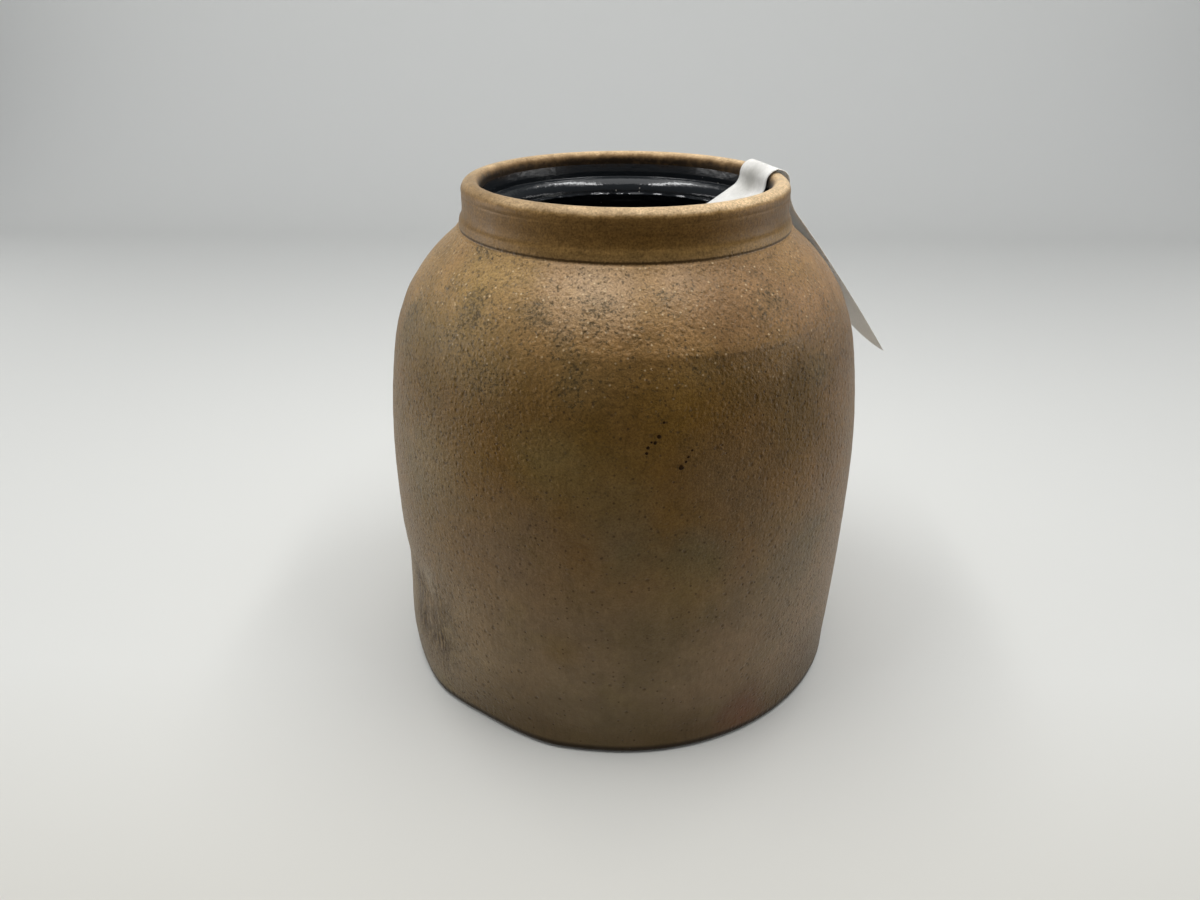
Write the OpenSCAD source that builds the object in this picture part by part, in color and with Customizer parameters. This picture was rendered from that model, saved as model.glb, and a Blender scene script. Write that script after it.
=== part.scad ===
// A wheel-thrown stoneware crock: salt glaze outside, dark slip inside,
// and a blank paper strip tag that hangs over its lip with both ends free.
// Units are millimetres. The foot stands on z = 0 and the wheel's axis is Z.

/* [Body] */
// Height from the foot to the crest of the lip
crock_h = 205.5; // [200:0.5:240]
// Diameter at the belly, the widest ring of the wall
belly_d = 198.2; // [185:0.2:215]
// Height of the belly above the foot
belly_z = 90; // [70:1:105]
// How far the foot stands in from the belly
foot_inset = 2.9; // [1:0.1:10]
// Radius of the wall's bow between the belly and the shoulder
upper_wall_r = 286; // [220:1:400]
// Radius of the shoulder's turn
shoulder_r = 66; // [56:1:72]
// Thickness of the wall
wall_t = 8; // [6:0.1:10]
// Thickness of the floor
floor_t = 10; // [6:0.1:16]
// Rounding of the foot's outer edge
foot_edge_r = 2.5; // [1:0.1:5]
// Rounding between the wall and the floor inside
floor_fillet_r = 14; // [6:0.5:24]
// Drop from the lip's crest to the soft ridge that the thrower's rib left on the shoulder
ridge_drop = 42.5; // [36:0.5:50]
// Radius of the shoulder ridge's section
ridge_r = 8; // [5:0.5:12]
// How far the shoulder ridge stands out
ridge_out = 0.35; // [0.1:0.05:0.6]

/* [Collar] */
// Outer diameter of the collar
collar_d = 128; // [116:0.5:134]
// Height of the collar's upright part, up to the crest of the lip
collar_h = 9.5; // [8:0.1:14]
// Thickness of the lip
lip_t = 7.6; // [6:0.1:9]
// Radius of the sweep from the shoulder up into the collar
sweep_r = 16; // [8:0.5:22]
// Drop from the lip's crest to the tooled groove under the collar
groove_drop = 17.3; // [15.5:0.1:19]
// Width of the tooled groove
groove_w = 1.3; // [0.6:0.1:2]
// Drop from the lip's crest to the bead over the groove
bead_drop = 14.8; // [13:0.1:15]
// Radius of the bead's section
bead_r = 2.2; // [1.5:0.1:3]
// How far the bead stands out
bead_out = 0.5; // [0.2:0.05:0.8]
// Drop from the lip's crest to the fine line scored under the lip
score_drop = 5; // [4:0.1:8]
// Width of the scored line
score_w = 0.7; // [0.4:0.1:1]

/* [Neck] */
// Rounding between the neck and the underside of the shoulder
throat_edge_r = 4; // [2:0.1:6]
// Drop from the lip's crest to the round ledge at the throat
ledge_drop = 16.6; // [16:0.1:18]
// Radius of the throat ledge's section
ledge_r = 6; // [5:0.1:7]
// How far the throat ledge stands into the neck
ledge_in = 4.8; // [2:0.1:5.2]
// Thickness of the slip coat inside
slip_t = 0.4; // [0.2:0.05:0.8]
// Drop from the lip's crest to the slip's upper edge
slip_drop = 4.2; // [4:0.1:8]

/* [Kiln dent] */
// Bearing of the dent low on the wall, from +X towards +Y
dent_bearing = 200; // [150:1:330]
// Height of the dent's centre
dent_z = 46; // [30:1:60]
// Depth of the dent
dent_depth = 1.2; // [0.4:0.1:2.5]
// Radius of the dent's hollow
dent_r = 150; // [60:5:220]

/* [Strip tag] */
// Width of the paper strip
strip_w = 25.4; // [12:0.2:30]
// Thickness of the paper
paper_t = 0.3; // [0.2:0.05:0.5]
// Bearing of the strip round the mouth, from +X towards +Y
strip_bearing = 17; // [-60:1:60]
// Radius of the bend where the flap leaves the collar
flap_bend_r = 20; // [14:0.5:26]
// Length of the flap's straight run along its longer edge
flap_run = 81; // [60:0.5:100]
// How much shorter the flap is along its other edge
flap_skew = 8.8; // [0:0.2:14]
// Slope of the inner tail below the horizontal
tail_slope = 32; // [20:1:50]
// Radius of the bend where the tail leaves the neck
tail_bend_r = 6; // [4:0.5:8]
// Length of the tail's straight run
tail_run = 18; // [8:0.5:24]
// Clearance between the paper and the crock
paper_gap = 0.3; // [0.2:0.05:0.5]
// Clearance between the strip's stretches at their folds
fold_gap = 0.2; // [0.1:0.05:0.4]

/* [Hidden] */
$fn = 180;

// Turn of one chord where the section's long arcs are drawn, in degrees
chord_turn = 2;
// Length of one chord on the wall's flat bows
chord_l = 12;

// Radii and centres that the wheel's section is drawn from. Each arc runs into the next
// with a common tangent: lower bow, upper bow, shoulder, and the sweep up into the collar.
belly_r = belly_d / 2;
collar_r = collar_d / 2;
neck_r = collar_r - lip_t;
lip_c = [collar_r - lip_t / 2, crock_h - lip_t / 2];
lower_wall_r = (belly_z * belly_z + foot_inset * foot_inset) / (2 * foot_inset);
lower_c = [belly_r - lower_wall_r, belly_z];
upper_c = [belly_r - upper_wall_r, belly_z];
sweep_c = [collar_r + sweep_r, crock_h - collar_h];
shoulder_c = meet(upper_c, upper_wall_r - shoulder_r, sweep_c, shoulder_r + sweep_r);

// The point below the line from a to b that is ra from a and rb from b
function meet(a, ra, b, rb) =
    let (d = norm(b - a),
         along = (ra * ra - rb * rb + d * d) / (2 * d),
         aside = sqrt(ra * ra - along * along),
         e = (b - a) / d)
    a + along * e + aside * [e.y, -e.x];

// Bearing of b seen from a, in the section's plane
function bearing(a, b) = atan2(b.y - a.y, b.x - a.x);

// Points along an arc from one bearing to another
function arc(c, r, from, to) =
    let (n = ceil(max(abs(to - from) / chord_turn, abs(to - from) * r * PI / 180 / chord_l)))
    [for (i = [0 : n]) let (a = from + (to - from) * i / n) c + r * [cos(a), sin(a)]];

// The wheel's section at a depth under the outer face, from the foot up to the neck
module wheel_section(depth, foot_z, corner_r, throat_r, edge_r, top_z) {
    low_r = lower_wall_r - depth;
    turn_r = shoulder_r - depth;
    corner_z = foot_z + corner_r;
    corner_c = [lower_c.x + sqrt(pow(low_r - corner_r, 2) - pow(belly_z - corner_z, 2)), corner_z];
    edge_x = throat_r + edge_r;
    edge_c = [edge_x, shoulder_c.y + sqrt(pow(turn_r + edge_r, 2) - pow(edge_x - shoulder_c.x, 2))];
    foot_a = bearing(lower_c, corner_c);
    shoulder_a = bearing(upper_c, shoulder_c);
    edge_a = bearing(shoulder_c, edge_c);
    polygon(concat(
        [[0, foot_z]],
        arc(corner_c, corner_r, -90, foot_a),
        arc(lower_c, low_r, foot_a, 0),
        arc(upper_c, upper_wall_r - depth, 0, shoulder_a),
        arc(shoulder_c, turn_r, shoulder_a, edge_a),
        arc(edge_c, edge_r, edge_a + 180, 180),
        [[throat_r, top_z], [0, top_z]]
    ));
}

module disc(c, r) {
    translate(c) circle(r);
}

// The hollow inside, narrowed by a coat of slip
module hollow_section(coat) {
    ledge_c = [neck_r + ledge_r - ledge_in, crock_h - ledge_drop];
    difference() {
        wheel_section(wall_t + coat, floor_t + coat, floor_fillet_r - coat,
            neck_r - coat, throat_edge_r + coat, crock_h);
        disc(ledge_c, ledge_r + coat);
    }
}

// Radius of the collar's sweep at a height
function sweep_x(z) = sweep_c.x - sqrt(sweep_r * sweep_r - pow(z - sweep_c.y, 2));

// The outside, with the ridge, bead, groove and scored line that the thrower left
module outer_section() {
    ridge_a = asin((crock_h - ridge_drop - shoulder_c.y) / shoulder_r);
    ridge_c = shoulder_c + (shoulder_r + ridge_out - ridge_r) * [cos(ridge_a), sin(ridge_a)];
    bead_z = crock_h - bead_drop;
    groove_z = crock_h - groove_drop;
    difference() {
        union() {
            wheel_section(0, 0, foot_edge_r, collar_r, sweep_r, lip_c.y);
            disc(lip_c, lip_t / 2);
            disc(ridge_c, ridge_r);
            disc([sweep_x(bead_z) + bead_out - bead_r, bead_z], bead_r);
        }
        disc([sweep_x(groove_z), groove_z], groove_w / 2);
        disc([collar_r, crock_h - score_drop], score_w / 2);
    }
}

// The hollow knocked into the lower wall before firing
module kiln_dent() {
    wall_x = lower_c.x + sqrt(pow(lower_wall_r, 2) - pow(dent_z - belly_z, 2));
    rotate(dent_bearing) translate([wall_x + dent_r - dent_depth, 0, dent_z]) sphere(dent_r);
}

module stoneware_body() {
    color("#8f6f45")
    difference() {
        rotate_extrude() difference() {
            outer_section();
            hollow_section(0);
        }
        kiln_dent();
    }
}

module slip_lining() {
    color("#23242a")
    rotate_extrude() intersection() {
        difference() {
            hollow_section(0);
            hollow_section(slip_t);
        }
        square([belly_r, crock_h - slip_drop]);
    }
}

// The strip is flat across its width, so its saddle clears the lip's curve at both edges
leg_in = sqrt(pow(neck_r - slip_t, 2) - pow(strip_w / 2, 2)) - paper_gap;
leg_out = collar_r + paper_gap;
saddle_c = [(leg_in + leg_out) / 2, lip_c.y];
saddle_r = (leg_out - leg_in + paper_t) / 2;
flap_fold = saddle_c + [saddle_r, 0];
tail_fold = saddle_c - [saddle_r, 0];

// The flap turns outward from its fold, and leans so that its run passes over the shoulder
// with the paper's clearance
flap_bend_c = flap_fold + [flap_bend_r, 0];
flap_pass_r = shoulder_r + paper_gap + paper_t / 2;
flap_slope = 90 - bearing(shoulder_c, flap_bend_c)
    + acos((flap_pass_r + flap_bend_r) / norm(flap_bend_c - shoulder_c));

// A stretch of paper in section: from its fold round a bend and on down a slope
module paper_section(bend_r, slope, run) {
    turn = 90 - slope;
    bend_c = [bend_r, 0];
    run_v = run * [cos(slope), -sin(slope)];
    far_side = arc(bend_c, bend_r + paper_t / 2, 180, 180 + turn);
    near_side = arc(bend_c, bend_r - paper_t / 2, 180 + turn, 180);
    circle(paper_t / 2);
    polygon(concat(
        far_side,
        [far_side[len(far_side) - 1] + run_v, near_side[0] + run_v],
        near_side
    ));
}

// Stands a section up across the lip and gives it the strip's width
module across_lip() {
    rotate(strip_bearing) rotate([90, 0, 0]) linear_extrude(strip_w, center = true) children();
}

module tag_saddle() {
    color("#f2f1ec")
    across_lip() intersection() {
        difference() {
            disc(saddle_c, saddle_r + paper_t / 2);
            disc(saddle_c, saddle_r - paper_t / 2);
        }
        translate(saddle_c + [-2 * saddle_r, paper_t / 2 + fold_gap]) square(4 * saddle_r);
    }
}

// What the slanted cut takes off the flap's end, seen from above
module flap_end_cut() {
    end_x = flap_fold.x + flap_bend_r * (1 - sin(flap_slope)) + flap_run * cos(flap_slope);
    half_slant = flap_skew * cos(flap_slope) / 2;
    polygon([
        [end_x + half_slant, -strip_w],
        [end_x + flap_run, -strip_w],
        [end_x + flap_run, strip_w],
        [end_x - 3 * half_slant, strip_w]
    ]);
}

module tag_flap() {
    color("#f2f1ec")
    difference() {
        across_lip() translate(flap_fold) paper_section(flap_bend_r, flap_slope, flap_run);
        rotate(strip_bearing) linear_extrude(crock_h) flap_end_cut();
    }
}

module tag_tail() {
    color("#f2f1ec")
    across_lip() translate(tail_fold) mirror([1, 0]) paper_section(tail_bend_r, tail_slope, tail_run);
}

stoneware_body();
slip_lining();
tag_saddle();
tag_flap();
tag_tail();
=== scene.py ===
import math
from bisect import bisect

import bmesh
import bpy
from mathutils import Matrix, Vector, noise


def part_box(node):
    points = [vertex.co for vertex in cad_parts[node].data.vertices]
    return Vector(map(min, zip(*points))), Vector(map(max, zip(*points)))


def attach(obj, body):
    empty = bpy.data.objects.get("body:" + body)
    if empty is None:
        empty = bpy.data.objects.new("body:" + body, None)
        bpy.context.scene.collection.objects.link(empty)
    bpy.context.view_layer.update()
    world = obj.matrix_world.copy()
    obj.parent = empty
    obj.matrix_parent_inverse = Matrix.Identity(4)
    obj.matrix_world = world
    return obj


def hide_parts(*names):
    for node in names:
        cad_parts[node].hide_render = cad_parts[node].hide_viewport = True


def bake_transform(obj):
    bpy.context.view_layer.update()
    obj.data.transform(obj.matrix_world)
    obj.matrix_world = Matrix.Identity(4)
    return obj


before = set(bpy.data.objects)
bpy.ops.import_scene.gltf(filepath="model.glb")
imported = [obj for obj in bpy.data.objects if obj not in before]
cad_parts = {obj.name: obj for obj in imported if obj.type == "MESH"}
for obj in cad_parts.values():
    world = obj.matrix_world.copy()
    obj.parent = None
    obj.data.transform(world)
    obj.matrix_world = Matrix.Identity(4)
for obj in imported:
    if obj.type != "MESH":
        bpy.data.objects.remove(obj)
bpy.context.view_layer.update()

# The camera stands close in front of the crock and looks down into its mouth,
# through a 27 mm lens on a 36 mm frame.
camera_pitch = math.radians(26.91)
camera_yaw = math.radians(-1.56)
camera_data = bpy.data.cameras.new("camera")
camera_data.sensor_width = 36.0
camera_data.lens = 27.0
camera = bpy.data.objects.new("camera", camera_data)
camera.location = (0.0, -0.3608, 0.2685)
line_of_sight = Vector((
    math.sin(camera_yaw) * math.cos(camera_pitch),
    math.cos(camera_yaw) * math.cos(camera_pitch),
    -math.sin(camera_pitch),
))
camera.rotation_euler = line_of_sight.to_track_quat("-Z", "Y").to_euler()
bpy.context.scene.collection.objects.link(camera)
bpy.context.scene.camera = camera
bpy.context.scene.view_settings.view_transform = "Standard"


# The stoneware body. One lump of clay thrown on a wheel: a flat foot, a wall that bows a
# little, a round shoulder and a short collar with a rolled lip over a tooled groove. Salt
# thrown into the kiln glazed it where the flames reached, and left it freckled with iron.
mm = 0.001
crock_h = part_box("stoneware_body")[1].z
belly_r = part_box("stoneware_body")[1].x
belly_z = 90 * mm
foot_inset = 2.9 * mm
upper_wall_r = 286 * mm
shoulder_r = 66 * mm
wall_t = 8 * mm
floor_t = 10 * mm
foot_edge_r = 2.5 * mm
floor_fillet_r = 14 * mm
collar_r = 64 * mm
collar_h = 9.5 * mm
lip_t = 7.6 * mm
sweep_r = 16 * mm
throat_edge_r = 4 * mm
ledge_drop = 16.6 * mm
ledge_r = 6 * mm
ledge_in = 4.8 * mm
neck_r = collar_r - lip_t
lip_c = Vector((collar_r - lip_t / 2, crock_h - lip_t / 2))
lower_wall_r = (belly_z ** 2 + foot_inset ** 2) / (2 * foot_inset)
lower_c = Vector((belly_r - lower_wall_r, belly_z))
upper_c = Vector((belly_r - upper_wall_r, belly_z))
sweep_c = Vector((collar_r + sweep_r, crock_h - collar_h))


def meet(a, ra, b, rb):
    """The point under the line from a to b that is ra from a and rb from b."""
    d = (b - a).length
    along = (ra * ra - rb * rb + d * d) / (2 * d)
    e = (b - a) / d
    return a + along * e + math.sqrt(ra * ra - along * along) * Vector((e.y, -e.x))


def bearing(a, b):
    """Angle of b seen from a, in the wheel's section."""
    return math.atan2(b.y - a.y, b.x - a.x)


def arc(c, r, start, end, step):
    """Points about a step apart on an arc, from one bearing to another."""
    count = max(2, math.ceil(abs(end - start) * r / step))
    turns = [start + (end - start) * i / count for i in range(count + 1)]
    return [c + r * Vector((math.cos(a), math.sin(a))) for a in turns]


shoulder_c = meet(upper_c, upper_wall_r - shoulder_r, sweep_c, shoulder_r + sweep_r)
# Points across the flat of the foot, or of the floor inside
flat_steps = 8


def wheel_line(depth, foot_z, corner_r, throat_r, edge_r, step, edge_step):
    """The thrown line at a depth under the outer face, from the foot's middle up to the throat."""
    low_r = lower_wall_r - depth
    turn_r = shoulder_r - depth
    corner_z = foot_z + corner_r
    corner_x = lower_c.x + math.sqrt((low_r - corner_r) ** 2 - (belly_z - corner_z) ** 2)
    corner_c = Vector((corner_x, corner_z))
    edge_x = throat_r + edge_r
    edge_z = shoulder_c.y + math.sqrt((turn_r + edge_r) ** 2 - (edge_x - shoulder_c.x) ** 2)
    edge_c = Vector((edge_x, edge_z))
    foot_a = bearing(lower_c, corner_c)
    shoulder_a = bearing(upper_c, shoulder_c)
    edge_a = bearing(shoulder_c, edge_c)
    return (
        [Vector((corner_x * i / flat_steps, foot_z)) for i in range(flat_steps)]
        + arc(corner_c, corner_r, -math.pi / 2, foot_a, edge_step)
        + arc(lower_c, low_r, foot_a, 0, step)[1:]
        + arc(upper_c, upper_wall_r - depth, 0, shoulder_a, step)[1:]
        + arc(shoulder_c, turn_r, shoulder_a, edge_a, step / 2)[1:]
        + arc(edge_c, edge_r, edge_a + math.pi, math.pi, edge_step)[1:]
    )


def hump(distance, reach):
    """A soft rise that is 1 in the middle and fades out at its reach."""
    return math.exp(-(distance / reach) ** 2)


def climb(line, top_z, step):
    """Carries a line straight up from its last point, in steps."""
    foot = line[-1]
    rise = top_z - foot.y
    count = math.ceil(rise / step)
    return line + [Vector((foot.x, foot.y + rise * (i + 1) / count)) for i in range(count)]


def hollow_line(coat, top_z, step, neck_step):
    """The inside of the crock under a coat, from the floor's middle up past the ledge to the neck."""
    ledge_c = Vector((neck_r + ledge_r - ledge_in, crock_h - ledge_drop))
    round_r = ledge_r + coat
    line = wheel_line(wall_t + coat, floor_t + coat, floor_fillet_r - coat,
        neck_r - coat, throat_edge_r + coat, step, step / 4)
    line = climb(line, ledge_c.y, neck_step)
    for p in line:
        if ledge_c.y - p.y < round_r:
            p.x = min(p.x, ledge_c.x - math.sqrt(round_r ** 2 - (ledge_c.y - p.y) ** 2))
    neck_a = math.acos((neck_r - coat - ledge_c.x) / round_r)
    return climb(line + arc(ledge_c, round_r, math.pi, neck_a, neck_step)[1:], top_z, neck_step)


# What the wheel, the rib and tools left on the outside: height, reach and how far it stands out
tool_marks = (
    (0.0 * mm, 5.0 * mm, 0.4 * mm),
    (163.0 * mm, 2.6 * mm, 0.25 * mm),
    (190.7 * mm, 1.5 * mm, 0.55 * mm),
    (188.2 * mm, 0.6 * mm, -1.0 * mm),
    (200.5 * mm, 0.35 * mm, -0.28 * mm),
)
collar_steps = 18
collar_rise = lip_c.y - sweep_c.y
outer_line = wheel_line(0, 0, foot_edge_r, collar_r, sweep_r, step=1.6 * mm, edge_step=0.36 * mm)
outer_line += [
    Vector((collar_r, sweep_c.y + collar_rise * i / collar_steps)) for i in range(1, collar_steps + 1)]
for p in outer_line[flat_steps:]:
    out = (p - shoulder_c).normalized() if p.y > shoulder_c.y else Vector((1, 0))
    for mark_z, reach, stand in tool_marks:
        p += out * stand * hump(p.y - mark_z, reach)
outer_line += arc(lip_c, lip_t / 2, 0, math.pi, 0.55 * mm)[1:]
inner_line = hollow_line(0, lip_c.y, step=8 * mm, neck_step=2 * mm)

wall_z = [p.y for p in outer_line[flat_steps:] if p.x > lip_c.x]
wall_x = [p.x for p in outer_line[flat_steps:] if p.x > lip_c.x]


def wall_radius(z):
    """Radius of the outside at a height."""
    i = min(max(bisect(wall_z, z), 1), len(wall_z) - 1)
    t = (z - wall_z[i - 1]) / max(wall_z[i] - wall_z[i - 1], 1e-9)
    return wall_x[i - 1] + (wall_x[i] - wall_x[i - 1]) * min(max(t, 0), 1)


# Where the wet clay was knocked, or spread as it was set down: bearing, height, reach round, reach
# up, how far out
knocks = (
    (201, 47 * mm, 17, 13 * mm, -1.3 * mm),
    (207, 20 * mm, 20, 9 * mm, 0.8 * mm),
    (205, 9 * mm, 26, 11 * mm, 1.4 * mm),
    (275, 2 * mm, 32, 6 * mm, 1.0 * mm),
    (219, 0 * mm, 8, 9 * mm, 1.3 * mm),
    (236, 1 * mm, 8, 12 * mm, -0.7 * mm),
    (254, 0 * mm, 7, 8 * mm, 0.9 * mm),
    (205, 40 * mm, 4, 7 * mm, -0.5 * mm),
    (216, 52 * mm, 3, 9 * mm, -0.4 * mm),
)
# One turn of the rib stands proud on the right: where, how far round, how far out
ridge_z = 162.4 * mm
ridge_bearing = 297
ridge_reach_deg = 17
ridge_out = 0.45 * mm
# The scar on the lower left is torn downward, to this depth
scar_z = 38 * mm
scar_bearing = 218
scar_depth = 0.7 * mm


def hand_thrown(p):
    """How far the wall stands off a true circle at a point of the outside."""
    round_deg = math.degrees(math.atan2(p.y, p.x)) % 360
    # A fifth of a millimetre out of round, then the turns of the thrower's fingers, then dimples
    off = 0.22 * mm * noise.noise(p / (60 * mm)) - 0.22 * mm
    off += 0.07 * mm * noise.noise(Vector((p.x / (90 * mm), p.y / (90 * mm), p.z / (4.5 * mm))))
    off += 0.06 * mm * noise.noise(p / (5 * mm))
    for at, height, reach_deg, reach, stand in knocks:
        aside = (round_deg - at + 180) % 360 - 180
        off += stand * hump(aside, reach_deg) * hump(p.z - height, reach)
    over_ridge = p.z - ridge_z
    ridge_fade = 6 * mm if over_ridge > 0 else 0.5 * mm
    ridge = hump(round_deg - ridge_bearing, ridge_reach_deg) * math.exp(-abs(over_ridge) / ridge_fade)
    tear = hump(round_deg - scar_bearing, 10) * hump(p.z - scar_z, 13 * mm)
    tear *= noise.noise(Vector((p.x / (4 * mm), p.y / (4 * mm), p.z / (11 * mm))))
    return off + ridge_out * ridge + scar_depth * tear


def spin_up(bm, line, steps):
    """Turns a line of the wheel's section an eighth round the axis, and copies that round the rest."""
    before = len(bm.verts), len(bm.edges), len(bm.faces)
    verts = [bm.verts.new((p.x, 0, p.y)) for p in line]
    edges = [bm.edges.new(pair) for pair in zip(verts, verts[1:])]
    bmesh.ops.spin(bm, geom=verts + edges, cent=(0, 0, 0), axis=(0, 0, 1),
        angle=math.pi / 4, steps=steps // 8, use_merge=False)
    eighth = bm.verts[before[0]:] + bm.edges[before[1]:] + bm.faces[before[2]:]
    for i in range(1, 8):
        copied = bmesh.ops.duplicate(bm, geom=eighth)["geom"]
        bmesh.ops.rotate(bm, verts=[g for g in copied if isinstance(g, bmesh.types.BMVert)],
            cent=(0, 0, 0), matrix=Matrix.Rotation(i * math.pi / 4, 3, "Z"))


def piece(bm, name, material):
    """Makes a finished mesh a smooth piece at the origin, with its material."""
    mesh = bpy.data.meshes.new(name)
    bm.to_mesh(mesh)
    bm.free()
    mesh.shade_smooth()
    mesh.materials.append(material)
    made = bpy.data.objects.new(name, mesh)
    bpy.context.scene.collection.objects.link(made)
    return made


def colour(code):
    """The linear colour of an sRGB hex value."""
    parts = [int(code[i:i + 2], 16) / 255 for i in (1, 3, 5)]
    return [c / 12.92 if c < 0.04045 else ((c + 0.055) / 1.055) ** 2.4 for c in parts] + [1]


def bare_material(name):
    """Starts a material with nothing in its node tree."""
    made = bpy.data.materials.new(name)
    made.use_nodes = True
    made.node_tree.nodes.clear()
    return made


def node(kind, *inputs, out=0, stops=(), **settings):
    """Adds a node to the tree in hand and gives back one of its outputs. Values or links go to its
    inputs in their order, or by name from a dict."""
    made = tree.nodes.new("ShaderNode" + kind)
    for name, value in settings.items():
        setattr(made, name, value)
    for i, (place, code) in enumerate(stops):
        ramp = made.color_ramp.elements
        stop = ramp[i] if i < 2 else ramp.new(place)
        stop.position = place
        stop.color = colour(code)
    by_name = inputs[0] if inputs and isinstance(inputs[0], dict) else dict(enumerate(inputs))
    for name, value in by_name.items():
        if isinstance(value, bpy.types.NodeSocket):
            tree.links.new(value, made.inputs[name])
        else:
            made.inputs[name].default_value = value
    return made.outputs[out] if made.outputs else None


# Salt-glazed stoneware, fired brown. The eye sees a satin skin with the pebble of orange peel,
# tan where it faces up to the salt, olive and grey-brown down the wall, and iron freckles.
glaze = bare_material("salt_glazed_stoneware")
tree = glaze.node_tree
here = node("TexCoord", out="Object")
xyz = node("SeparateXYZ", here).node.outputs
# The patterns in it: the size of one feature in millimetres, then detail, roughness and swirl
cloud, tint, mottle, pepper, grain = [
    node("TexNoise", {"Vector": here, "Scale": 1 / (size * mm), "Detail": detail,
        "Roughness": roughness, "Distortion": swirl})
    for size, detail, roughness, swirl in (
        (24, 6, 0.62, 0.4), (30, 4, 0.6, 0.6), (4.5, 5, 0.7, 0), (1.4, 4, 0.75, 0), (0.75, 2, 0.65, 0))
]
down = node("Mapping", {"Vector": here, "Scale": (1, 1, 0.3)})
runs = node("TexNoise", {"Vector": down, "Scale": 1 / (2.0 * mm), "Detail": 3, "Roughness": 0.6})


def patch(round_deg, height, reach, strength):
    """A ragged spot on the outside, fading out from its middle; sizes in millimetres."""
    a = math.radians(round_deg)
    middle = Vector((math.cos(a), math.sin(a), 0)) * wall_radius(height * mm) + Vector((0, 0, height * mm))
    away = node("VectorMath", here, middle, operation="DISTANCE", out="Value")
    away = node("Math", cloud, 1.5 * reach * mm, away, operation="MULTIPLY_ADD")
    return node("MapRange", away, 1.85 * reach * mm, 0.85 * reach * mm, 0, strength)


def specks(spacing, size, bare, core=0.35):
    """Round specks, one in each cell of a spacing, left out of a share of the cells. Each is full in
    its core and fades out at its size."""
    away = node("TexVoronoi", {"Vector": here, "Scale": 1 / spacing, "Randomness": 1.0})
    speck = node("MapRange", away, size / spacing, core * size / spacing)
    pick = node("SeparateColor", away.node.outputs["Color"], out="Red")
    return node("Math", speck, node("Math", pick, bare, operation="GREATER_THAN"), operation="MULTIPLY")


def lay_over(tone, layers):
    """Lays colours over a tone one by one: each an amount, a colour and how it mixes."""
    for amount, layer, how in layers:
        tone = node("Mix", {0: amount, 6: tone, 7: layer}, data_type="RGBA", blend_type=how, out=2)
    return tone


# The salt thins down the wall: tan on the shoulder, ochre under it, then grey-brown
drift = 16 * mm
drifted = node("Math", cloud, drift, xyz["Z"], operation="MULTIPLY_ADD")
up_wall = node("Math", drifted, crock_h + drift, operation="DIVIDE")
skin = node("ValToRGB", up_wall, stops=(
    (0.00, "#534835"), (0.08, "#5b4f3d"), (0.19, "#7a6d5a"), (0.32, "#796a56"), (0.46, "#705c3f"),
    (0.60, "#69522b"), (0.70, "#6f5732"), (0.765, "#7f653d"), (0.80, "#9c7d52"), (0.88, "#ad8f65"),
))
# It came in from one side: the glaze is yellower to the left and redder to the right
side_tone = node("ValToRGB", node("MapRange", xyz["X"], -80 * mm, 80 * mm),
    stops=((0.0, "#fff7e4"), (1.0, "#fff0e4")))
layers = [(1.0, side_tone, "MULTIPLY")]
# Blushes that the flames left, and three painted highlights: bearing, height, reach, strength and colour
blushes_and_painted_highlights = (
    (263, 134, 32, 0.35, "#604921"),
    (284, 149, 24, 0.60, "#74561f"),
    (311, 150, 36, 0.70, "#53401c"),
    (268, 116, 22, 0.40, "#7d6a48"),
    (255, 128, 18, 0.55, "#7c6a42"),
    (246, 92, 30, 0.45, "#7b6753"),
    (292, 119, 24, 0.55, "#68553f"),
    (286, 93, 17, 0.65, "#625a46"),
    (271, 94, 15, 0.60, "#6b604a"),
    (284, 77, 20, 0.65, "#736039"),
    (312, 72, 40, 0.65, "#6f644f"),
    (279, 53, 24, 0.55, "#66593f"),
    (257, 50, 9, 0.50, "#7a643c"),
    (221, 15, 28, 0.60, "#85765f"),
    (266, 18, 30, 0.45, "#6c5f49"),
    (301, 9, 15, 0.70, "#674434"),
    (222, 116, 30, 0.50, "#837559"),
    (231, 181, 21, 0.75, "#b29157"),
    # Painted highlights: the pinkish shine of the two narrow lamps on the shoulder front
    (261, 182, 20, 0.75, "#d0b08c"),
    (285, 183, 13, 0.60, "#c9a784"),
    (306, 182, 28, 0.55, "#a37d57"),
    (321, 173, 24, 0.55, "#967555"),
    (297, 176, 20, 0.60, "#8a6640"),
    (223, 146, 32, 0.60, "#5f4c29"),
    (233, 166, 28, 0.60, "#95794a"),
    # A painted highlight: pale shine of the glaze at the scar's upper edge
    (216, 55, 9, 0.60, "#9d917a"),
    (213, 160, 28, 0.60, "#806b44"),
)
layers += [(patch(*spot), colour(tone), "MIX") for *spot, tone in blushes_and_painted_highlights]
# Painted shade under the ridge: the glaze is darkened below it, with a crisp edge that fades to both sides
painted_ridge_shade = node("Math", grain, 0.8 * mm, xyz["Z"], operation="MULTIPLY_ADD")
painted_ridge_shade = node("MapRange", painted_ridge_shade, 162.5 * mm, 163.2 * mm, 0.65, 0)
painted_ridge_shade = node("Math", patch(299, 160, 27, 1.0), painted_ridge_shade, operation="MULTIPLY")
layers.append((painted_ridge_shade, colour("#5c431f"), "MIX"))
# The kiln's air drifts it to mauve and to olive
air_tone = node("ValToRGB", tint, stops=((0.36, "#fcf8f5"), (0.5, "#ffffff"), (0.64, "#f5f6e8")))
layers.append((0.7, air_tone, "MULTIPLY"))
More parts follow.
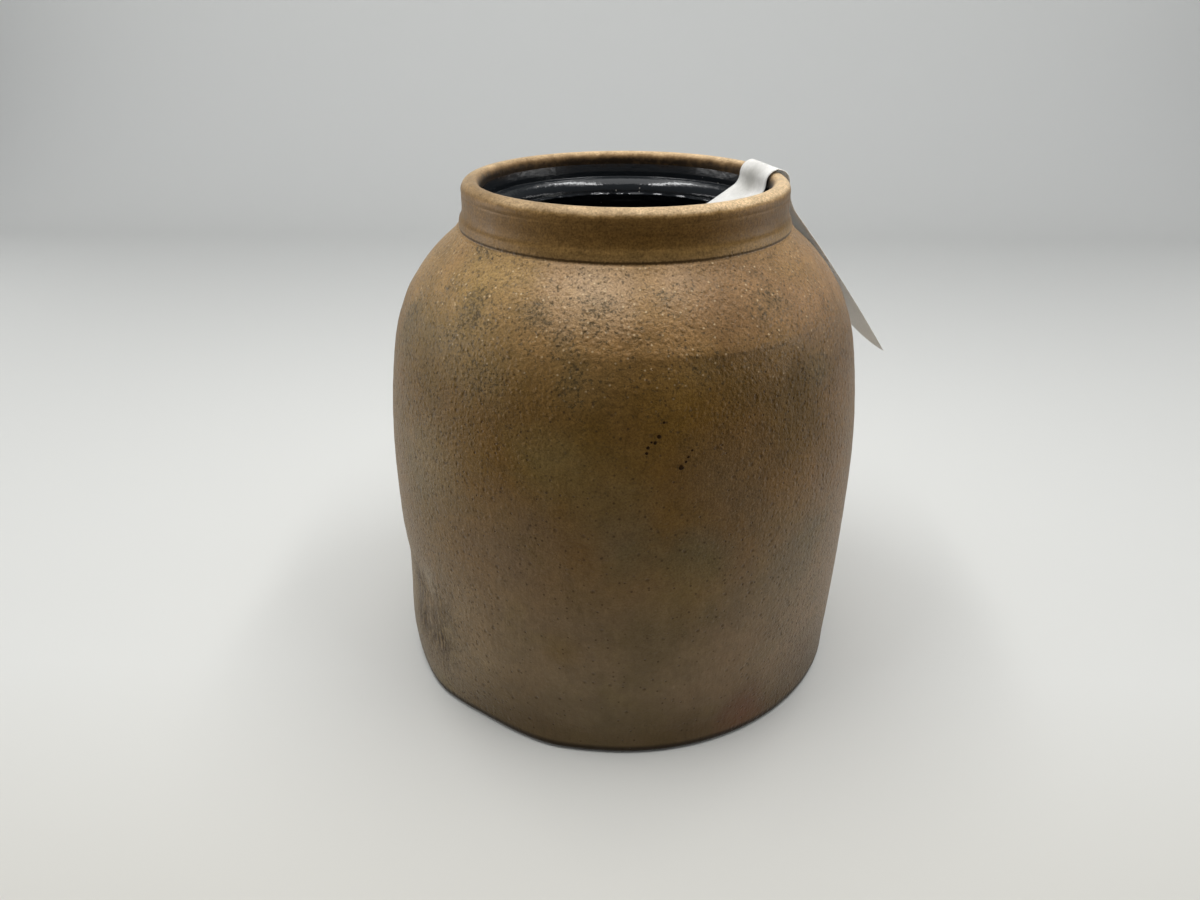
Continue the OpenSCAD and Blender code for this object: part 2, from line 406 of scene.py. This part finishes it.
# Clouds, mottle of 2 to 5 mm, grain under 1 mm and runs down the wall. The grain is stronger at the left
# and right sides, where its light and dark are partly painted glint and shade of the grazing side light
at_sides = node("MapRange", node("Math", xyz["X"], operation="ABSOLUTE"), 35 * mm, 75 * mm)
runs = node("Math", runs, node("MapRange", xyz["Z"], 168 * mm, 135 * mm), operation="MULTIPLY")
mottle_share = node("MapRange", xyz["Z"], 0, 60 * mm, 0.4, 1)
grain_share = node("Math", node("MapRange", xyz["Z"], 5 * mm, 170 * mm, 0.15, 1),
    node("Math", at_sides, 0.8, operation="MULTIPLY"), operation="MAXIMUM")
layers += [
    (share, node("MapRange", pattern, low, high, dark, 1.9 - dark), "MULTIPLY")
    for pattern, low, high, dark, share in (
        (cloud, 0.36, 0.64, 0.84, 0.8), (mottle, 0.30, 0.70, 0.80, mottle_share),
        (grain, 0.30, 0.70, 0.62, grain_share), (runs, 0.25, 0.65, 0.84, 0.5))
]
# Ash that fell on the shoulder and burnt in: charcoal pepper, thick in places. Each place's bearing,
# height, reach and thickness
ash_falls = (
    (218, 174, 11, 0.15), (231, 169, 19, 0.18), (228, 163, 22, 0.15), (262, 174, 16, 0.18),
    (249, 174, 13, 0.16), (257, 165, 17, 0.15), (260, 155, 18, 0.17), (280, 180, 8, 0.16),
    (309, 173, 19, 0.16), (319, 150, 15, 0.16), (221, 188, 11, 0.17), (286, 158, 17, 0.12),
    (205, 160, 22, 0.15), (238, 152, 19, 0.14),
)
fallen = node("MapRange", drifted, 110 * mm, 172 * mm, 0, 0.08)
for fall in ash_falls:
    fallen = node("Math", fallen, patch(*fall), operation="MAXIMUM")
ash = node("MapRange", node("Math", pepper, fallen, operation="ADD"), 0.63, 0.73, 0, 0.85)
salt = node("Math", specks(1.9 * mm, 0.5 * mm, 0.72),
    node("MapRange", drifted, 150 * mm, 185 * mm, 0, 0.7), operation="MULTIPLY")
layers += [
    (node("MapRange", fallen, 0.05, 0.2, 0, 0.4), colour("#756444"), "MIX"),
    (ash, colour("#3e3421"), "MIX"),
    (salt, colour("#dcc39c"), "MIX"),
]
# The collar takes its own bands: worn tan crest, dark brown side and a paler bead, wiped round
collar_z = node("Math", mottle, 1.6 * mm, xyz["Z"], operation="MULTIPLY_ADD")
collar_tone = node("ValToRGB", node("MapRange", collar_z, 186.8 * mm, 206.8 * mm), stops=(
    (0.00, "#95794f"), (0.16, "#80663f"), (0.26, "#745a33"), (0.36, "#5f4622"),
    (0.55, "#583f1d"), (0.82, "#644a27"), (0.86, "#8f7249"), (0.91, "#cbb08a"),
))
round_it = node("Mapping", {"Vector": here, "Scale": (0.12, 0.12, 1)})
wiped = node("TexNoise", {"Vector": round_it, "Scale": 1 / (1.3 * mm), "Detail": 4, "Roughness": 0.7})
collar_tone = lay_over(collar_tone, (
    (patch(205, 200, 84, 0.8), colour("#6e5430"), "MIX"),
    (1.0, node("MapRange", mottle, 0.3, 0.7, 0.8, 1.2), "MULTIPLY"),
    (1.0, node("MapRange", grain, 0.3, 0.7, 0.65, 1.35), "MULTIPLY"),
    (0.7, node("MapRange", wiped, 0.3, 0.7, 0.8, 1.2), "MULTIPLY"),
))
# Slip wiped over the inside of the lip, and painted shade darkening the groove
groove_z = 188.15 * mm
from_axis = node("VectorMath", here, (1, 1, 0), operation="MULTIPLY")
from_axis = node("VectorMath", from_axis, operation="LENGTH", out="Value")
from_axis = node("Math", mottle, 1.6 * mm, from_axis, operation="MULTIPLY_ADD")
from_groove = node("Math", node("Math", xyz["Z"], groove_z, operation="SUBTRACT"), operation="ABSOLUTE")
from_groove = node("Math", grain, 0.5 * mm, from_groove, operation="MULTIPLY_ADD")
groove_shade = node("MapRange", from_groove, 0.95 * mm, 0.5 * mm, 0, 0.85)
layers += [
    (node("MapRange", xyz["Z"], 187.2 * mm, 188.2 * mm), collar_tone, "MIX"),
    (node("MapRange", from_axis, 59.6 * mm, 58.0 * mm, 0, 0.75), colour("#866845"), "MIX"),
    (node("MapRange", from_axis, 58.5 * mm, 57.2 * mm), colour("#221b15"), "MIX"),
    (groove_shade, colour("#35250f"), "MIX"),
]
# Iron freckles of half a millimetre, thick on the shoulder and thin on the wall
freckles = specks(2.1 * mm, 0.62 * mm, node("MapRange", drifted, 60 * mm, 172 * mm, 0.86, 0.6))
freckles = node("Math", freckles,
    node("MapRange", xyz["Z"], 190 * mm, 186 * mm, 0.3, 0.75), operation="MULTIPLY")
layers.append((freckles, colour("#33271a"), "MIX"))
# The kiln scar low on the left, where another pot stuck: dark, rough and torn downward
scar = patch(219, 36, 27, 0.6)
for round_deg, height, reach in ((211, 46, 15), (212, 32, 14), (221, 29, 13)):
    scar = node("Math", scar, patch(round_deg, height, reach, 1.0), operation="MAXIMUM")
torn = node("TexNoise", {"Vector": down, "Scale": 1 / (1.7 * mm), "Detail": 4, "Roughness": 0.75})
torn = node("Math", scar, node("MapRange", torn, 0.46, 0.53), operation="MULTIPLY")
# Pits of a half to one millimetre, few in front and many at the left and right sides, where the side
# light grazes; their dark colour is painted shade in the hollows
pits = specks(1.6 * mm, 0.55 * mm, node("MapRange", at_sides, 0, 1, 0.95, 0.64))
craters = specks(3.2 * mm, 1.0 * mm, node("MapRange", at_sides, 0, 1, 0.94, 0.1))
pits = node("Math", pits, node("Math", craters, 0.8, operation="MULTIPLY"), operation="MAXIMUM")
pits = node("Math", pits, node("MapRange", xyz["Z"], 172 * mm, 150 * mm), operation="MULTIPLY")
# Painted shade: the bare edge of the foot is darkened over its lowest few millimetres, standing in for the
# contact shadow under it
painted_foot_shade = node("MapRange", xyz["Z"], 4.2 * mm, 2.8 * mm, 0, 0.92)
layers += [
    (node("Math", scar, 0.2, operation="MULTIPLY"), colour("#7a613d"), "MIX"),
    (node("Math", torn, 0.95, operation="MULTIPLY"), colour("#2f1d08"), "MIX"),
    (painted_foot_shade, colour("#17120c"), "MIX"),
    # Painted shade in the pits
    (node("Math", pits, 0.62, operation="MULTIPLY"), colour("#33251a"), "MIX"),
]
skin = lay_over(skin, layers)
# As height: orange peel of 2 mm, grain, runs, sand grains, pits and the torn scar. Peel, grain and
# sand are rough on the shoulder and at the sides, and smooth on the collar
peel = node("TexVoronoi", {"Vector": here, "Scale": 1 / (1.9 * mm), "Smoothness": 0.6}, feature="SMOOTH_F1")
sand = specks(2.3 * mm, 1.0 * mm, node("MapRange", drifted, 100 * mm, 170 * mm, 0.8, 0.3))
rough = node("Math", node("MapRange", xyz["Z"], 20 * mm, 175 * mm, 0.3, 1.2),
    node("MapRange", at_sides, 0, 1, 0.3, 1.5), operation="MAXIMUM")
rough = node("Math", node("MapRange", xyz["Z"], 190 * mm, 186 * mm, 0.15, 1), rough, operation="MULTIPLY")
relief = {}
for pattern, strength, height, hollow in (
    (node("Math", peel, rough, operation="MULTIPLY"), 0.9, 0.2 * mm, True),
    (node("Math", grain, rough, operation="MULTIPLY"), 0.9, 0.3 * mm, False),
    (runs, 0.8, 0.27 * mm, False),
    (node("Math", sand, rough, operation="MULTIPLY"), 0.9, 0.22 * mm, False),
    (pits, 0.8, 0.34 * mm, True),
    (torn, 0.9, 0.5 * mm, True),
):
    relief = {"Normal": node("Bump", {"Height": pattern, "Strength": strength, "Distance": height, **relief},
        invert=hollow)}
# The skin is glassier and clearer on the shoulder than down the wall
glassy = node("Math", node("MapRange", drifted, 160 * mm, 182 * mm),
    node("MapRange", xyz["Z"], 189.5 * mm, 187.5 * mm), operation="MULTIPLY")
shine = node("ValToRGB", glassy, stops=((0.0, "#c2965c"), (1.0, "#ecd5b8")))
satin = node("Math", node("MapRange", mottle, 0.3, 0.7, 0.38, 0.52),
    node("Math", glassy, 0.05, operation="MULTIPLY"), operation="SUBTRACT")
# It is dry in the scar, in the groove and on two patches high on the sides
dry = node("Math", scar, groove_shade, operation="MAXIMUM")
for round_deg, reach in ((315, 38), (219, 32)):
    dry = node("Math", dry, patch(round_deg, 147, reach, 1.0), operation="MAXIMUM")
gloss = node("Math", node("MapRange", glassy, 0, 1, 0.34, 0.58),
    node("MapRange", dry, 0, 1, 1, 0.35), operation="MULTIPLY")
node("OutputMaterial", node("BsdfPrincipled", {
    "Base Color": skin, "Roughness": satin, "IOR": 1.5, "Specular Tint": shine, "Specular IOR Level": gloss,
    "Sheen Weight": 0.08, "Sheen Roughness": 0.4, "Sheen Tint": colour("#e6dfce"), **relief}))

# The hand's unevenness is full at the face and fades out inside the wall and on the foot's flat
body_steps = 304
uneven_t = 6 * mm
fade_t = 4 * mm
bm = bmesh.new()
spin_up(bm, outer_line, body_steps)
spin_up(bm, inner_line, body_steps)
bmesh.ops.remove_doubles(bm, verts=bm.verts, dist=0.02 * mm)
for vert in bm.verts:
    flat = Vector((vert.co.x, vert.co.y, 0))
    depth = wall_radius(vert.co.z) - flat.length
    held = min(max((uneven_t - depth) / fade_t, 0), 1) * min(vert.co.z / (1 * mm) + 0.15, 1)
    if held > 0 and flat.length > 0:
        vert.co += flat.normalized() * hand_thrown(vert.co) * held
bmesh.ops.recalc_face_normals(bm, faces=bm.faces)
body = piece(bm, "stoneware_crock", glaze)
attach(body, "crock")
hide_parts("stoneware_body")


# The slip lining. A dark clay slip was poured round inside the crock before firing and melted
# to a black glass coat, from the floor up to just under the lip, where it thins to brown.
slip_t = 0.4 * mm
slip_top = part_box("slip_lining")[1].z
slip_bite = 0.15 * mm
slip_steps = 256

# Fired slip glaze. The eye sees wet black with a blue-grey shine on every throwing ring.
slip = bare_material("fired_slip_glaze")
tree = slip.node_tree
here = node("TexCoord", out="Object")
thin = node("TexNoise", {"Vector": here, "Scale": 1 / (8 * mm), "Detail": 4, "Roughness": 0.6})
thin_z = node("Math", thin, 5 * mm, node("SeparateXYZ", here, out="Z"), operation="MULTIPLY_ADD")
slip_tone = node("ValToRGB", node("MapRange", thin_z, 201.5 * mm, 206.5 * mm), stops=(
    (0.0, "#1b1e21"), (0.35, "#211b16"), (0.7, "#46331f"), (1.0, "#7a5c39"),
))
# Pale specks on the black slip: partly white deposit, partly painted glints of light on its little bumps
pale_specks_and_glints = specks(3.4 * mm, 0.408 * mm, 0.8, core=0.5)
slip_tone = lay_over(slip_tone, [(pale_specks_and_glints, colour("#8f8a82"), "MIX")])
ripple = node("TexNoise", {"Vector": here, "Scale": 1 / (3 * mm), "Detail": 3, "Roughness": 0.55})
node("OutputMaterial", node("BsdfPrincipled", {
    "Base Color": slip_tone, "IOR": 1.52,
    "Roughness": node("MapRange", thin_z, 198 * mm, 204 * mm, 0.14, 0.3),
    "Normal": node("Bump", {"Height": ripple, "Strength": 0.6, "Distance": 0.3 * mm})}))

# It thins out under the lip, and bites a little into the clay behind
bm = bmesh.new()
face_line = hollow_line(slip_t, slip_top, step=2.0 * mm, neck_step=0.25 * mm)
back_line = hollow_line(-slip_bite, slip_top, step=4.0 * mm, neck_step=1.0 * mm)
for p in face_line:
    p.x += (slip_t + 0.1 * mm) * max(1 - (slip_top - p.y) / (4 * mm), 0)
spin_up(bm, face_line + back_line[::-1], slip_steps)
bmesh.ops.remove_doubles(bm, verts=bm.verts, dist=0.01 * mm)
# Beads of glaze hang on the throat's edge, and under it the throwing rings wind up the wall
bead_z = 188.2 * mm
rings_top = 182 * mm
for vert in bm.verts:
    flat = Vector((vert.co.x, vert.co.y, 0))
    if flat.length == 0:
        continue
    if vert.co.z < rings_top:
        sway = 2 * noise.noise(Vector((0, 0, vert.co.z / (12 * mm))))
        ring = 1 + math.sin(vert.co.z / (1.9 * mm) + math.atan2(vert.co.y, vert.co.x) + sway)
        inward = 0.15 * mm * ring * hump(vert.co.z - 100 * mm, 70 * mm)
    else:
        bead = max(0.65 + noise.noise(vert.co / (2.5 * mm)), 0)
        inward = 1.0 * mm * bead * hump(vert.co.z - bead_z, 0.55 * mm)
    vert.co -= flat.normalized() * inward
bmesh.ops.recalc_face_normals(bm, faces=bm.faces)
lining = piece(bm, "slip_lining_coat", slip)
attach(lining, "crock")
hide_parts("slip_lining")


# The iron spots. Specks of iron pyrite in the clay melted out through the glaze into small
# black beads, in two short slanting rows on the upper wall. Each bead's bearing, height and radius
iron_spots = (
    (278.4, 142.9, 0.55), (277.4, 138.2, 0.75), (276.6, 136.1, 0.6), (275.9, 136.4, 0.45),
    (275.2, 134.5, 0.6), (274.9, 132.6, 0.55), (284.2, 132.7, 0.45), (283.4, 130.5, 0.45),
    (282.9, 128.9, 0.5), (281.9, 127.0, 0.95),
)
bead_flat = 0.22
bead_lift = 0.02 * mm
# Melted iron oxide: black with a brown edge and a hard small glint.
iron = bare_material("melted_iron_spot")
tree = iron.node_tree
here = node("TexCoord", out="Object")
melt = node("TexNoise", {"Vector": here, "Scale": 1 / (0.8 * mm), "Detail": 3})
node("OutputMaterial", node("BsdfPrincipled", {
    "Base Color": node("ValToRGB", melt, stops=((0.3, "#1a1007"), (0.8, "#38240f"))),
    "Roughness": 0.55, "IOR": 1.5, "Specular IOR Level": 0.15, "Specular Tint": colour("#c2965c")}))

bm = bmesh.new()
for round_deg, height, radius in iron_spots:
    a = math.radians(round_deg)
    out = Vector((math.cos(a), math.sin(a), 0))
    spot = out * wall_radius(height * mm) + Vector((0, 0, height * mm))
    spot += out * (hand_thrown(spot) + bead_lift)
    made = bmesh.ops.create_icosphere(bm, subdivisions=2, radius=radius * mm)["verts"]
    for vert in made:
        flat = vert.co - out * vert.co.dot(out)
        ragged = 1 + 0.35 * noise.noise(vert.co / (0.6 * mm) + spot * 1000)
        vert.co = spot + flat * ragged + out * vert.co.dot(out) * bead_flat
bmesh.ops.recalc_face_normals(bm, faces=bm.faces)
spots = piece(bm, "iron_spots", iron)
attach(spots, "crock")


# The paper strip. One blank inch-wide strip of stout white paper hangs over the lip: a long
# flap outside, cut off slanting, and a short tail inside. It is bent over the lip, not fixed.
strip_w = 25.4 * mm
strip_bearing = math.radians(17)
paper_t = 0.26 * mm
saddle_c = Vector((59.27 * mm, lip_c.y))
saddle_r = 5.18 * mm
flap_bend_r = 20 * mm
flap_run = 79.8 * mm
flap_droop = math.radians(7)
flap_skew = 8.8 * mm
tail_bend_r = 6 * mm
tail_slope = math.radians(32)
tail_run = 18 * mm
curl_h = 1.1 * mm
curl_from = 0.45
flap_fold = saddle_c + Vector((saddle_r, 0))
tail_fold = saddle_c - Vector((saddle_r, 0))
flap_bend_c = flap_fold + Vector((flap_bend_r, 0))
flap_pass_r = shoulder_r + 0.45 * mm
flap_slope = math.pi / 2 - bearing(shoulder_c, flap_bend_c) + math.acos(
    (flap_pass_r + flap_bend_r) / (flap_bend_c - shoulder_c).length)
outward = Vector((math.cos(strip_bearing), math.sin(strip_bearing), 0))
along_lip = Vector((-math.sin(strip_bearing), math.cos(strip_bearing), 0))

# Uncoated white paper, a little thick. The eye sees matt white with fine fibre, and a grey patch on the
# tail in the neck: partly a smudge where fingers pressed it in, partly painted shade where it turns from the
# light.
paper = bare_material("uncoated_white_paper")
tree = paper.node_tree
here = node("TexCoord", out="Object")
fibre = node("TexNoise", {"Vector": here, "Scale": 1 / (0.9 * mm), "Detail": 5, "Roughness": 0.7})
fibre_tone = node("ValToRGB", fibre, stops=((0.25, "#d9d7d1"), (0.75, "#e9e7e1")))
# A grey patch on the tail: smudge mixed with painted shade
smudge_and_shade_at = outward * tail_fold.x + along_lip * 1.5 * mm + Vector((0, 0, 201 * mm))
smudge_and_shade = node("VectorMath", here, smudge_and_shade_at, operation="DISTANCE", out="Value")
smudge_and_shade_edge = node("TexNoise", {"Vector": here, "Scale": 1 / (4 * mm), "Detail": 6, "Roughness": 0.8})
smudge_and_shade = node("Math", smudge_and_shade_edge, 12 * mm, smudge_and_shade, operation="MULTIPLY_ADD")
smudge_and_shade = node("MapRange", smudge_and_shade, 18 * mm, 8 * mm, 0, 0.85)
node("OutputMaterial", node("BsdfPrincipled", {
    "Base Color": lay_over(fibre_tone, [(smudge_and_shade, colour("#a5a39d"), "MIX")]),
    "Roughness": 0.75, "IOR": 1.45, "Subsurface Weight": 0.65, "Subsurface Scale": 0.8 * mm,
    "Subsurface Radius": (1.0, 1.0, 1.0),
    "Normal": node("Bump", {"Height": fibre, "Strength": 0.4, "Distance": 0.06 * mm})}))


def hanging_path(bend_r, slope, run, droop):
    """Points of one side of the strip in section: over the saddle's crest, round the bend, down the
    run, which droops a little more to its end."""
    turn = math.pi / 2 - slope + droop / 2
    fold = Vector((saddle_r, 0))
    path = arc(Vector((0, 0)), saddle_r, math.pi / 2, 0, 0.4 * mm)
    path += arc(fold + Vector((bend_r, 0)), bend_r, math.pi, math.pi + turn, 0.6 * mm)[1:]
    steps = math.ceil(run / (1.2 * mm))
    for i in range(steps):
        lean = slope + droop * ((i + 0.5) / steps - 0.5)
        path.append(path[-1] + Vector((math.cos(lean), -math.sin(lean))) * run / steps)
    return path


def hang_strip(name, path, side, skew):
    """Lays a flat strip along a path on one side of the lip, and gives it the paper's thickness."""
    reach = [0]
    for a, b in zip(path, path[1:]):
        reach.append(reach[-1] + (b - a).length)
    bm = bmesh.new()
    bmesh.ops.create_grid(bm, x_segments=len(path) - 1, y_segments=20, size=0.5)
    for vert in bm.verts:
        across = vert.co.y
        i = round((vert.co.x + 0.5) * (len(path) - 1))
        cut = 1 - skew * (across + 0.5) / reach[-1]
        go = reach[i] * (cut if i > len(path) // 3 else 1 - (1 - cut) * 3 * i / len(path))
        k = min(max(bisect(reach, go), 1), len(path) - 1)
        spot = path[k - 1].lerp(path[k], (go - reach[k - 1]) / (reach[k] - reach[k - 1]))
        free = max(go / reach[-1] - curl_from, 0) / (1 - curl_from)
        curl = curl_h * free ** 2 * (4 * across * across - 0.3) * (1 if side > 0 else 0.4)
        u = saddle_c.x + side * spot.x + side * curl * 0.8
        z = saddle_c.y + spot.y + curl * 0.6
        vert.co = outward * u + along_lip * across * strip_w + Vector((0, 0, z))
    bmesh.ops.recalc_face_normals(bm, faces=bm.faces)
    bmesh.ops.solidify(bm, geom=bm.faces[:], thickness=paper_t)
    bmesh.ops.recalc_face_normals(bm, faces=bm.faces)
    made = piece(bm, name, paper)
    return made, reach[-1]


flap_path = hanging_path(flap_bend_r, flap_slope, flap_run, flap_droop)
tail_path = hanging_path(tail_bend_r, tail_slope, tail_run, 0)
flap, flap_l = hang_strip("strip_flap", flap_path, 1, flap_skew)
tail, tail_l = hang_strip("strip_tail", tail_path, -1, 0)
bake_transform(flap)
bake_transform(tail)
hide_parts("tag_flap", "tag_saddle")
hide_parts("tag_tail")


# The studio. A white sweep of board runs under the crock and up behind it, lit by one broad
# soft lamp overhead with two narrow ones under it, and by a dimmer panel at each side.
board_w = 2.24
board_front = -0.9
board_back = 0.75
board_bend_r = 0.35
board_top = 1.6
# Matt white board, with painted shade greying it toward the front.
board = bare_material("matt_white_board")
tree = board.node_tree
back = node("SeparateXYZ", node("TexCoord", out="Object"), out="Y")
shaded_board_tone = node("ValToRGB", node("MapRange", back, -0.25, 1.0),
    stops=((0.0, "#cfccc3"), (0.16, "#e2e2de"), (1.0, "#e6e7e5")))
node("OutputMaterial", node("BsdfPrincipled",
    {"Base Color": shaded_board_tone, "Roughness": 0.8, "Specular IOR Level": 0.2}))
bm = bmesh.new()
sweep_line = [Vector((board_front, 0)), Vector((board_back, 0))]
sweep_line += arc(Vector((board_back, board_bend_r)), board_bend_r, -math.pi / 2, 0, 0.03)[1:]
sweep_line.append(Vector((board_back + board_bend_r, board_top)))
verts = [bm.verts.new((-board_w / 2, p.x, p.y)) for p in sweep_line]
edges = [bm.edges.new(pair) for pair in zip(verts, verts[1:])]
drawn = bmesh.ops.extrude_edge_only(bm, edges=edges)["geom"]
bmesh.ops.translate(bm, verts=[g for g in drawn if isinstance(g, bmesh.types.BMVert)], vec=(board_w, 0, 0))
bmesh.ops.recalc_face_normals(bm, faces=bm.faces)
sweep = piece(bm, "sweep_board", board)

# Each lamp's name, place, aim, size in metres and power in watts
lamps = (
    ("overhead", (0.0, 0.05, 0.92), (0, 0, 0), (1.0, 0.9), 4.1),
    ("left_strip", (-0.17, -0.04, 0.63), (0, 0, 0), (0.05, 0.42), 1.05),
    ("right_strip", (0.18, -0.04, 0.63), (0, 0, 0), (0.05, 0.42), 0.95),
    ("left_panel", (-1.15, 0.0, 0.24), (0, math.radians(-92), 0), (0.44, 1.0), 6.6),
    ("right_panel", (1.15, 0.0, 0.24), (0, math.radians(92), 0), (0.44, 1.0), 5.7),
)
for name, place, aim, size, power in lamps:
    lamp_data = bpy.data.lights.new(name, "AREA")
    lamp_data.shape = "RECTANGLE"
    lamp_data.size, lamp_data.size_y = size
    lamp_data.energy = power
    lamp = bpy.data.objects.new(name, lamp_data)
    lamp.location = place
    lamp.rotation_euler = aim
    lamp.visible_camera = False
    bpy.context.scene.collection.objects.link(lamp)

# The room round it is dim, and the camera sees it as pale as the board
world = bpy.data.worlds.new("studio_room")
bpy.context.scene.world = world
world.use_nodes = True
tree = world.node_tree
tree.nodes.clear()
seen = node("LightPath", out="Is Camera Ray")
room = node("Background", colour("#dfe3e8"), 0.2)
pale = node("Background", colour("#c6c8c7"), 1.0)
node("OutputWorld", node("MixShader", seen, room, pale))
